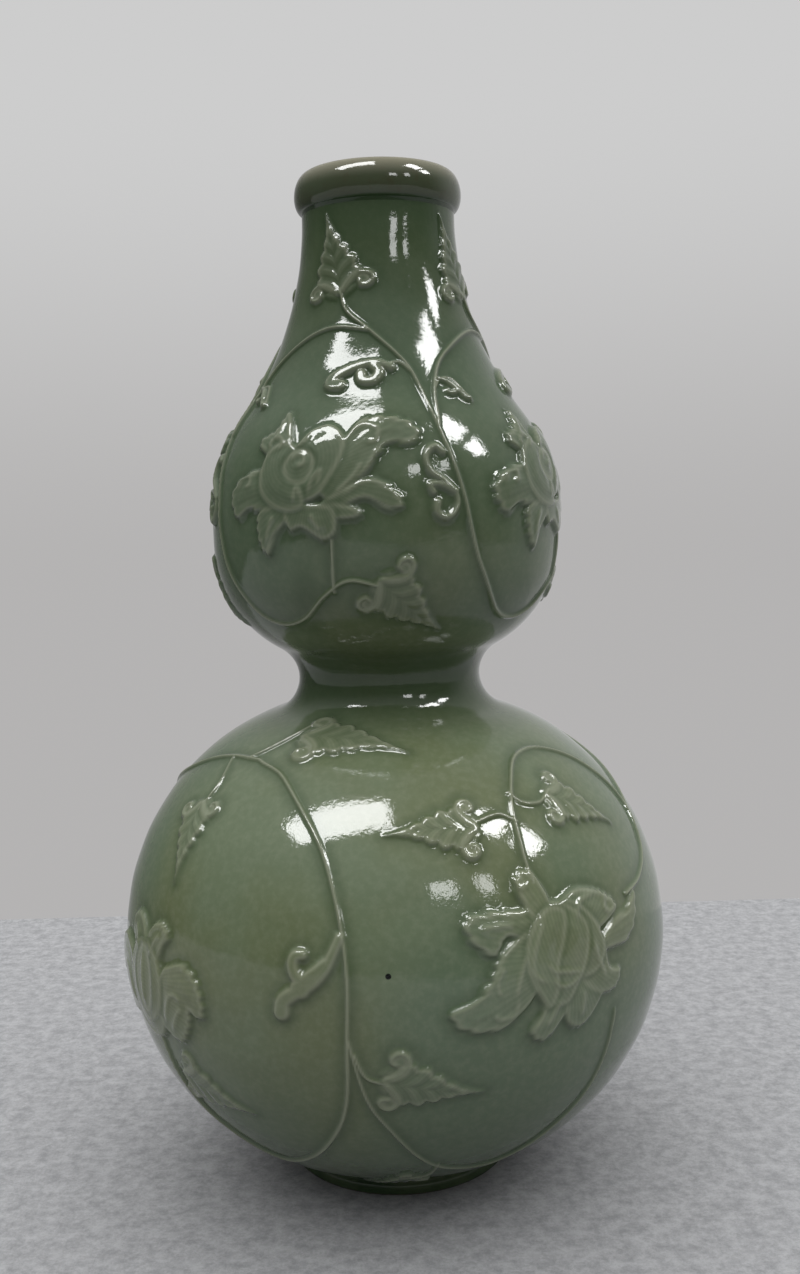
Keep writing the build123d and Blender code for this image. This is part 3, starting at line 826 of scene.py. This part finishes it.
def raised(points):
    """Outer wall points lifted by the relief, and the form that lifts them."""
    feet, normals = wall_foot(points)
    form = relief_at(feet)
    inset = np.clip(np.minimum(feet[:, 2] - foot_height, neck_z - feet[:, 2]) / seam_fade, 0, 1)
    return feet + normals * (form.height + undulation(feet) * inset)[:, None], form


def raised_normals(points):
    """Normals of the raised wall, by small steps along it and round it."""
    feet, normals = wall_foot(points)
    round_wall = np.column_stack((-feet[:, 1], feet[:, 0], np.zeros(len(feet))))
    round_wall /= np.linalg.norm(round_wall, axis=1)[:, None]
    up_wall = np.cross(normals, round_wall)
    across = raised(feet + round_wall * normal_step)[0] - raised(feet - round_wall * normal_step)[0]
    upward = raised(feet + up_wall * normal_step)[0] - raised(feet - up_wall * normal_step)[0]
    cross = np.cross(across, upward)
    cross *= np.sign((cross * normals).sum(1))[:, None]
    return cross / np.linalg.norm(cross, axis=1)[:, None]


# %% Finish a piece
def read_vectors(items, key):
    values = np.zeros(len(items) * 3)
    items.foreach_get(key, values)
    return values.reshape(-1, 3)


def set_attribute(mesh, name, values):
    layer = mesh.attributes.new(name, "FLOAT", "POINT")
    layer.data.foreach_set("value", values.astype(np.float32))


def add_object(name, data):
    new_object = bpy.data.objects.new(name, data)
    bpy.context.scene.collection.objects.link(new_object)
    return new_object


def add_piece(name, mesh, material, nodes):
    """Object for a finished mesh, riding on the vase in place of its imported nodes."""
    piece = add_object(name, mesh)
    mesh.materials.append(material)
    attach(piece, "root")
    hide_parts(*nodes)
    print(name, len(mesh.polygons), "faces,", len(nodes), "nodes")


def finish_mesh(bm, name):
    mesh = bpy.data.meshes.new(name)
    bmesh.ops.triangulate(bm, faces=[f for f in bm.faces if len(f.verts) > 4])
    bm.to_mesh(mesh)
    bm.free()
    mesh.shade_smooth()
    return mesh


def throw_section(name, rows, columns, seams, material, nodes, closed=True):
    """One section of the wall with its share of the relief."""
    bm = spin_profile(rows, columns, closed)
    refine_near_relief(bm)
    mesh = finish_mesh(bm, name)
    points = read_vectors(mesh.vertices, "co")
    feet, outer = outer_face(points)
    points[outer], form = raised(points[outer])
    mesh.vertices.foreach_set("co", points.ravel())
    mesh.update()
    for key, values in (("thin_glaze", form.thin), ("pooled_glaze", form.pool), ("combed_lines", form.comb)):
        everywhere = np.zeros(len(points))
        everywhere[outer] = values
        set_attribute(mesh, key, everywhere)
    normals = read_vectors(mesh.vertex_normals, "vector")
    for seam in seams:
        ring = outer & (np.abs(feet[:, 2] - seam) < ring_tolerance)
        normals[ring] = raised_normals(feet[ring])
    mesh.normals_split_custom_set_from_vertices([tuple(n) for n in normals])
    add_piece(name, mesh, material, nodes)


# %% [markdown]
# ## Celadon glaze
# Painted shade darkens the waist under the upper gourd and the bottom of the lower gourd.
# A thick iron-green glaze: deep green where it pools beside the relief, pale where it draws thin over
# rims and vines, and slightly mottled between. Its colour comes from numbers kept on each vertex, how thin
# and how pooled the glaze is and the count of combed lines, mixed with noise on Object coordinates.
# A painted picture could hold the same colours, but it would need unwrapping and would blur close up.

# %% Node helpers
def new_material(name):
    material = bpy.data.materials.new(name)
    material.use_nodes = True
    tree = material.node_tree
    return material, tree, tree.nodes["Principled BSDF"]


def add_node(tree, kind, **settings):
    node = tree.nodes.new(kind)
    for key, value in settings.items():
        setattr(node, key, value)
    return node


def noise(tree, scale, detail=2.0, roughness=0.5):
    """Noise on Object coordinates. The scale is in features per metre."""
    coords = add_node(tree, "ShaderNodeTexCoord")
    node = add_node(tree, "ShaderNodeTexNoise")
    node.inputs["Scale"].default_value = scale
    node.inputs["Detail"].default_value = detail
    node.inputs["Roughness"].default_value = roughness
    tree.links.new(coords.outputs["Object"], node.inputs["Vector"])
    return node.outputs["Fac"]


def remap(tree, value, from_low, from_high, to_low=0.0, to_high=1.0):
    """Carry a value smoothly from one range to another, and no further than its ends."""
    node = add_node(tree, "ShaderNodeMapRange", interpolation_type="SMOOTHSTEP")
    ends = {"From Min": from_low, "From Max": from_high, "To Min": to_low, "To Max": to_high}
    for key, number in ends.items():
        node.inputs[key].default_value = number
    tree.links.new(value, node.inputs["Value"])
    return node.outputs["Result"]


def mix_colour(tree, factor, first, second):
    """Mix two colours, or sockets that carry them."""
    node = add_node(tree, "ShaderNodeMix", data_type="RGBA")
    tree.links.new(factor, node.inputs["Factor"])
    for key, value in (("A", first), ("B", second)):
        socket = [s for s in node.inputs if s.name == key and s.type == "RGBA"][0]
        if isinstance(value, tuple):
            socket.default_value = (*value, 1)
        else:
            tree.links.new(value, socket)
    return [s for s in node.outputs if s.type == "RGBA"][0]


def attribute(tree, name):
    return add_node(tree, "ShaderNodeAttribute", attribute_name=name).outputs["Fac"]


def calculate(tree, operation, *values):
    """Arithmetic on numbers and sockets."""
    node = add_node(tree, "ShaderNodeMath", operation=operation)
    for socket, value in zip(node.inputs, values):
        if isinstance(value, (int, float)):
            socket.default_value = value
        else:
            tree.links.new(value, socket)
    return node.outputs["Value"]


def distance_from(tree, place):
    """Distance of the shaded point from a place, in metres."""
    coords = add_node(tree, "ShaderNodeTexCoord")
    node = add_node(tree, "ShaderNodeVectorMath", operation="DISTANCE")
    tree.links.new(coords.outputs["Object"], node.inputs[0])
    node.inputs[1].default_value = place
    return node.outputs["Value"]


def height_above(tree):
    coords = add_node(tree, "ShaderNodeTexCoord")
    parts = add_node(tree, "ShaderNodeSeparateXYZ")
    tree.links.new(coords.outputs["Object"], parts.inputs["Vector"])
    return parts.outputs["Z"]


# %% Glaze colours
celadon_green = (0.138, 0.176, 0.106)
celadon_olive = (0.128, 0.152, 0.076)
celadon_blue = (0.112, 0.155, 0.096)
thin_glaze_green = (0.285, 0.300, 0.215)
# Deep green of pooled glaze, also used for painted shade at the waist, under the lip, on the foot ring and
# low on the lower gourd.
pooled_green_and_shade = (0.030, 0.056, 0.022)
pinhole_black = (0.004, 0.005, 0.004)
rim_olive = (0.060, 0.072, 0.040)
rim_brown = (0.060, 0.062, 0.033)
rim_green = (0.066, 0.086, 0.050)
rim_pale = (0.250, 0.235, 0.165)
biscuit = (0.16, 0.115, 0.075)
glaze_roughness = 0.07
glaze_ior = 1.5


def new_glaze(name):
    material, tree, shader = new_material(name)
    shader.inputs["Roughness"].default_value = glaze_roughness
    shader.inputs["IOR"].default_value = glaze_ior
    return material, tree, shader


def finish_glaze(tree, shader, colour, grain, grain_depth):
    """Join the colour and a fine grain to the shader."""
    tree.links.new(colour, shader.inputs["Base Color"])
    node = add_node(tree, "ShaderNodeBump")
    node.inputs["Distance"].default_value = grain_depth
    tree.links.new(grain, node.inputs["Height"])
    tree.links.new(node.outputs["Normal"], shader.inputs["Normal"])


# %% Glaze of the body
# A range is the part of the noise that fades from none of a tint to all of it.
drift_range = (0.38, 0.62)
tint_range = (0.42, 0.60)
mottle_range = (0.35, 0.75)
mottle_depth = 0.16
# Painted shade: the waist under the upper gourd and the bottom of the lower gourd are darkened.
waist_shade_depth = 0.72
waist_shade_low = waist_curve * 0.3
waist_shade_high = waist_curve * 1.5
upper_depth = 0.28
neck_depth = 0.60
foot_shade_depth = 0.42
comb_colour_share = 0.11
comb_depth_share = 0.10
glaze_grain = 0.04 * mm
pinhole_azimuth_share = (-1.5, 0.54)
pinhole_radius = 1.0 * mm
pinhole_core_share = 0.7


def celadon_glaze():
    material, tree, shader = new_glaze("celadon_glaze")
    drift = remap(tree, noise(tree, scale=14, detail=3), *drift_range)
    tint = remap(tree, noise(tree, scale=9, detail=2), *tint_range)
    mottle = remap(tree, noise(tree, scale=420, detail=3, roughness=0.6), *mottle_range, 0.0, mottle_depth)
    base = mix_colour(tree, drift, celadon_olive, celadon_green)
    base = mix_colour(tree, tint, base, celadon_blue)
    base = mix_colour(tree, mottle, base, thin_glaze_green)
    z = height_above(tree)
    from_waist = calculate(tree, "ABSOLUTE", calculate(tree, "SUBTRACT", z, waist_z))
    # Pooled glaze beside the relief, and by height: painted shade at the waist and low on the lower gourd,
    # and a deeper green over the upper gourd and toward the neck.
    pools_and_shade = (remap(tree, from_waist, waist_shade_low, waist_shade_high, waist_shade_depth, 0.0),
             remap(tree, z, waist_z, waist_z + 2 * waist_curve, 0.0, upper_depth),
             remap(tree, z, crown_z, neck_z, 0.0, neck_depth),
             remap(tree, z, foot_height, belly_z, foot_shade_depth, 0.0),
             attribute(tree, "pooled_glaze"))
    for pool in pools_and_shade:
        base = mix_colour(tree, pool, base, pooled_green_and_shade)
    base = mix_colour(tree, attribute(tree, "thin_glaze"), base, thin_glaze_green)
    comb = calculate(tree, "SINE", calculate(tree, "MULTIPLY", attribute(tree, "combed_lines"), 2 * pi))
    base = mix_colour(tree, remap(tree, comb, -1.0, 1.0, 0.0, comb_colour_share), base, pooled_green_and_shade)
    from_pinhole = distance_from(tree, wall_place(lower_gourd, *pinhole_azimuth_share)[0])
    pinhole = remap(tree, from_pinhole, pinhole_radius * pinhole_core_share, pinhole_radius, 1.0, 0.0)
    base = mix_colour(tree, pinhole, base, pinhole_black)
    fine_grain = noise(tree, scale=650, detail=2, roughness=0.6)
    grain = calculate(tree, "ADD", fine_grain, calculate(tree, "MULTIPLY", comb, -comb_depth_share))
    finish_glaze(tree, shader, base, grain, glaze_grain)
    return material


# %% Glaze of the rim and of the foot
rim_range = (0.35, 0.65)
rim_speck_range = (0.5, 0.75)
rim_speck_depth = 0.8
# Share of the pale lip top: thin glaze and a painted reflection of the room.
rim_thin_and_reflection = 0.8
rim_grain = 0.03 * mm
foot_range = (0.35, 0.65)
# How much painted shade darkens the foot ring, at its bottom and at its top.
foot_shade_shares = (0.8, 0.3)
wiped_share = 0.3


def olive_rim_glaze():
    """Browner glaze over the lip, pale on top where the glaze is thin and a reflection of the room is
    painted, with a dark line of painted shade under it.
    """
    material, tree, shader = new_glaze("olive_rim_glaze")
    specks = noise(tree, scale=260, detail=4, roughness=0.7)
    z = height_above(tree)
    # Pale top of the lip: thin glaze, and a painted reflection of the room.
    thin_and_reflection = remap(tree, z, (neck_z + mouth_z) / 2, mouth_z, 0.0, rim_thin_and_reflection)
    # Painted shade in the crease under the lip.
    shade_under_lip = remap(tree, z, neck_z + lip_crease, neck_z + 2 * lip_crease, 1.0, 0.0)
    base = mix_colour(tree, remap(tree, noise(tree, scale=40, detail=3), *rim_range), rim_olive, rim_green)
    base = mix_colour(tree, remap(tree, specks, *rim_speck_range, 0.0, rim_speck_depth), base, rim_brown)
    base = mix_colour(tree, thin_and_reflection, base, rim_pale)
    base = mix_colour(tree, shade_under_lip, base, pooled_green_and_shade)
    finish_glaze(tree, shader, base, noise(tree, scale=500, detail=3, roughness=0.6), rim_grain)
    return material


def foot_glaze():
    """Glazed down to the foot edge, which was wiped to bare clay so that it wouldn't stick in the kiln."""
    material, tree, shader = new_glaze("foot_glaze")
    z = height_above(tree)
    # Painted shade: the foot ring is dark green all over, and darker toward the table.
    patches = remap(tree, noise(tree, scale=60, detail=3), *foot_range)
    colour = mix_colour(tree, patches, pooled_green_and_shade, celadon_olive)
    colour = mix_colour(tree, remap(tree, z, 0.0, foot_height, *foot_shade_shares), colour, pooled_green_and_shade)
    colour = mix_colour(tree, remap(tree, z, foot_edge * wiped_share, foot_edge), biscuit, colour)
    finish_glaze(tree, shader, colour, noise(tree, scale=700, detail=3, roughness=0.6), rim_grain)
    return material


body_material = celadon_glaze()
rim_material = olive_rim_glaze()
foot_material = foot_glaze()
print("glazes:", body_material.name, rim_material.name, foot_material.name)

# %% [markdown]
# ## The four wall sections
# The bowls and shoulders meet at the widest rings and at the waist, as a potter lutes them. One outline
# could be spun at once, but sections keep each mesh small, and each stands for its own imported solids.

# %% Throw the sections
floor_z = foot_height + floor
inner_floor_angle = degrees(asin((floor_z - belly_z) / (belly_curve - wall)))


def arc_part(arc, low=None, high=None):
    return arc._replace(low_angle=arc.low_angle if low is None else low,
                        high_angle=arc.high_angle if high is None else high)


def section_rows(*arcs):
    """Closed outline of a section: up its outer face and down its inner one."""
    return wall_rows(arcs, row_spacing) + wall_rows(arcs, inner_row_spacing, wall)[::-1]


bowl_rows = ([(0, foot_height), (foot_inner_radius / 2, foot_height), (foot_inner_radius, foot_height)]
             + wall_rows([arc_part(belly_arc, high=0)], row_spacing)
             + wall_rows([arc_part(belly_arc, low=inner_floor_angle, high=0)], inner_row_spacing, wall)[::-1]
             + [(foot_inner_radius / 2, floor_z), (0, floor_z)])
lower_shoulder_rows = section_rows(arc_part(belly_arc, low=0), arc_part(waist_arc, high=0))
upper_bowl_rows = section_rows(arc_part(waist_arc, low=0), cup_arc, arc_part(crown_arc, high=0))
neck_rows = section_rows(arc_part(crown_arc, low=0), shoulder_arc, neck_arc)

Section = namedtuple("Section", "gourd rows columns seams sprigs")
sections = {
    "lower_bowl": Section(lower_gourd, bowl_rows, lower_columns, (foot_height, belly_z),
                          ("side_leaf", "bud_leaf", "foot_leaf", "fan_flower", "rising_vine")),
    "lower_shoulder": Section(lower_gourd, lower_shoulder_rows, lower_columns, (belly_z, waist_z),
                              ("hanging_flower", "shoulder_vine", "hanging_vine", "shoulder_leaf",
                               "drop_leaf", "left_leaf", "right_leaf")),
    "upper_bowl": Section(upper_gourd, upper_bowl_rows, upper_columns, (waist_z, crown_z),
                          ("upper_vine", "upper_scroll_leaf", "upper_small_leaf")),
    "neck_and_shoulder": Section(upper_gourd, neck_rows, upper_columns, (crown_z, neck_z),
                                 ("upper_flower", "upper_branch", "neck_leaf", "upper_hook_leaf")),
}
# A section that starts on the axis is closed by its own floor.
for name, section in sections.items():
    nodes = [name] + [f"{sprig}_{number + 1}" for sprig in section.sprigs
                      for number in range(section.gourd.repeats)]
    throw_section(f"{name}_skin", section.rows, section.columns, section.seams, body_material, nodes,
                  closed=section.rows[0][0] > 0)

# %% [markdown]
# ## Mouth and foot
# The mouth is finished with a rolled lip, glazed in a browner olive. The foot is a turned ring. A torus
# would do for the lip from afar, but a spun outline keeps the bore, the crease under it and its true size.

# %% Roll the lip and turn the foot
lip_columns = 160
lip_steps = 12
corner_angle = 30


def quarter(centre, across, rise, start):
    """Points of a quarter ellipse, anticlockwise from a start angle."""
    return [(centre[0] + across * cos(radians(start + 90 * step / lip_steps)),
             centre[1] + rise * sin(radians(start + 90 * step / lip_steps))) for step in range(lip_steps + 1)]


lip_height = mouth_z - neck_z
lip_z = neck_z + lip_height * lip_widest_share
lip_bore_z = neck_z + lip_height * lip_bore_share
lip_crown_r = bore_radius + (lip_radius - bore_radius) * lip_crown_share
lip_low_z = neck_z + lip_crease
lip_rows = ([(neck_radius, neck_z)]
            + quarter((neck_radius, lip_z), lip_radius - neck_radius, lip_z - lip_low_z, 270)
            + quarter((lip_crown_r, lip_z), lip_radius - lip_crown_r, mouth_z - lip_z, 0)[1:]
            + quarter((lip_crown_r, lip_bore_z), lip_crown_r - bore_radius, mouth_z - lip_bore_z, 90)[1:]
            + [(bore_radius, neck_z)])
lip_mesh = finish_mesh(spin_profile(lip_rows, lip_columns), "mouth_rim_skin")
add_piece("mouth_rim_skin", lip_mesh, rim_material, ["mouth_rim"])

foot_corners = [(foot_radius - foot_edge, 0), (foot_radius, foot_edge), (foot_radius, foot_height),
                (foot_inner_radius, foot_height), (foot_inner_radius, foot_edge),
                (foot_inner_radius + foot_edge, 0)]
foot_bm = spin_profile(foot_corners, lip_columns)
corner_edges = [e for e in foot_bm.edges if e.calc_face_angle(0) > radians(corner_angle)
                and max(v.co.z for v in e.verts) < foot_height / 2]
bmesh.ops.bevel(foot_bm, geom=corner_edges, offset=foot_edge / 3, offset_type="OFFSET", segments=2,
                profile=0.5, affect="EDGES", material=-1)
foot_mesh = finish_mesh(foot_bm, "foot_ring_skin")
add_piece("foot_ring_skin", foot_mesh, foot_material, ["foot_ring"])

# %% [markdown]
# ## Table and light
# The vase stands on a plain grey table top, in front of a plain pale backdrop. A ceiling panel, two side
# strips and two windows give the hard-edged glints. The even light of the room gives all the rest. One
# soft lamp would show the form as well, but a glaze looks wet only where bright shapes have sharp edges.

# %% Table top
table_back = 0.275
table_reach = 1.6
table_thickness = 0.03
table_edge = 2 * mm

bm = bmesh.new()
bmesh.ops.create_cube(bm, size=1)
bmesh.ops.scale(bm, verts=bm.verts[:], vec=(2 * table_reach, table_reach + table_back, table_thickness))
bmesh.ops.translate(bm, verts=bm.verts[:], vec=(0, (table_back - table_reach) / 2, -table_thickness / 2))
bmesh.ops.bevel(bm, geom=bm.edges[:], offset=table_edge, offset_type="OFFSET", segments=3, profile=0.5,
                affect="EDGES", material=-1)
table_mesh = bpy.data.meshes.new("table_top")
bm.to_mesh(table_mesh)
bm.free()
table_top = add_object("table_top", table_mesh)

table_grey = (0.210, 0.213, 0.218)
table_pale = (0.335, 0.338, 0.343)
table_range = (0.36, 0.64)
material, tree, shader = new_material("pale_felt")
table_fleck = remap(tree, noise(tree, scale=170, detail=9, roughness=0.85), *table_range)
tree.links.new(mix_colour(tree, table_fleck, table_grey, table_pale), shader.inputs["Base Color"])
shader.inputs["Roughness"].default_value = 0.95
shader.inputs["Specular IOR Level"].default_value = 0.1
table_mesh.materials.append(material)

# %% Room light
backdrop_pale = (0.56, 0.555, 0.56)
backdrop_high = (0.61, 0.61, 0.61)
backdrop_low = (0.46, 0.452, 0.45)
ceiling_pale = (2.3, 2.3, 2.32)
ceiling_seen = (0.42, 0.42, 0.43)
front_dim = (0.035, 0.037, 0.038)
left_dim = (0.05, 0.05, 0.05)
# A range runs along one axis of the direction that is looked in, from -1 to 1.
ceiling_range = (0.25, 0.85)
left_range = (-0.95, 0.25)
front_range = (-0.35, 0.45)
backdrop_range = (-0.05, 0.30)

world = bpy.data.worlds.new("plain_room")
bpy.context.scene.world = world
world.use_nodes = True
tree = world.node_tree
background = tree.nodes["Background"]
coords = add_node(tree, "ShaderNodeTexCoord")
toward = add_node(tree, "ShaderNodeSeparateXYZ")
tree.links.new(coords.outputs["Generated"], toward.inputs["Vector"])
upward = remap(tree, toward.outputs["Z"], *ceiling_range)
path = add_node(tree, "ShaderNodeLightPath")
side = mix_colour(tree, remap(tree, toward.outputs["X"], *left_range), left_dim, backdrop_pale)
walls = mix_colour(tree, remap(tree, toward.outputs["Y"], *front_range), front_dim, side)
seen_in_glaze = mix_colour(tree, upward, walls, ceiling_seen)
lit_room = mix_colour(tree, upward, walls, ceiling_pale)
room = mix_colour(tree, path.outputs["Is Glossy Ray"], lit_room, seen_in_glaze)
backdrop = mix_colour(tree, remap(tree, toward.outputs["Z"], *backdrop_range), backdrop_low, backdrop_high)
room = mix_colour(tree, path.outputs["Is Camera Ray"], room, backdrop)
tree.links.new(room, background.inputs["Color"])


# %% Panels and windows that the glaze mirrors
def add_panel(name, centre, across, up, size, radiance):
    """Flat lamp that only gloss mirrors. It shines against the direction of across x up."""
    data = bpy.data.lights.new(name, "AREA")
    data.shape = "RECTANGLE"
    data.size, data.size_y = size
    data.energy = radiance * pi * size[0] * size[1]
    lamp = add_object(name, data)
    x_axis, y_axis = np.array(across, float), np.array(up, float)
    z_axis = np.cross(x_axis, y_axis)
    lamp.matrix_world = Matrix([(*row, place) for row, place in
                                zip(np.column_stack((x_axis, y_axis, z_axis)), centre)] + [(0, 0, 0, 1)])
    lamp.visible_diffuse = False
    lamp.visible_camera = False


ceiling_height = 1.5
panel_height = ceiling_height + mouth_z / 2
# A panel's place and its size, to the right and away, are shares of the ceiling's height.
panels = (
    ("ceiling_panel", (-0.42, -0.385), (0.78, 0.33), 17.0),
    ("side_panel", (0.74, -0.335), (0.42, 0.30), 22.0),
    ("side_strip", (1.33, -0.335), (0.44, 0.30), 22.0),
)
for name, (right, away), (width, depth), radiance in panels:
    add_panel(name, (right * ceiling_height, away * ceiling_height, panel_height), (1, 0, 0), (0, 1, 0),
              (width * ceiling_height, depth * ceiling_height), radiance)

window_distance = 2.0
window_height = 0.26
window_radiance = 9.0
window_elevation = radians(28)
for name, azimuth, width in (("far_window", radians(22), 0.34), ("narrow_window", radians(42), 0.20)):
    level = np.array((cos(azimuth), sin(azimuth), 0))
    toward_window = np.array((sin(azimuth) * cos(window_elevation), -cos(azimuth) * cos(window_elevation),
                              sin(window_elevation)))
    add_panel(name, toward_window * window_distance + (0, 0, mouth_z / 2), level,
              np.cross(toward_window, level), (width, window_height), window_radiance)
print(len(panels), "panels overhead and two windows in front")

# %% [markdown]
# ## Camera
# The camera stands in front of the vase, a little above its waist, and looks slightly down. It is held
# with a slight roll, so the vase leans to the left in the picture. Its angles are in degrees.

# %% Camera
camera_distance = 0.4488
camera_height = 0.2266
camera_pitch = 5.61
camera_roll = 1.37
camera_yaw = 0.516
camera_lens = 36.73

camera_data = bpy.data.cameras.new("camera")
camera_data.lens = camera_lens
camera_data.sensor_width = 36
camera_data.clip_start = 0.01
camera = add_object("camera", camera_data)
camera.matrix_world = (Matrix.Translation((0, -camera_distance, camera_height))
                       @ Matrix.Rotation(radians(-camera_yaw), 4, "Z")
                       @ Matrix.Rotation(radians(90 - camera_pitch), 4, "X")
                       @ Matrix.Rotation(radians(-camera_roll), 4, "Z"))
bpy.context.scene.camera = camera
bpy.context.scene.view_settings.view_transform = "Standard"
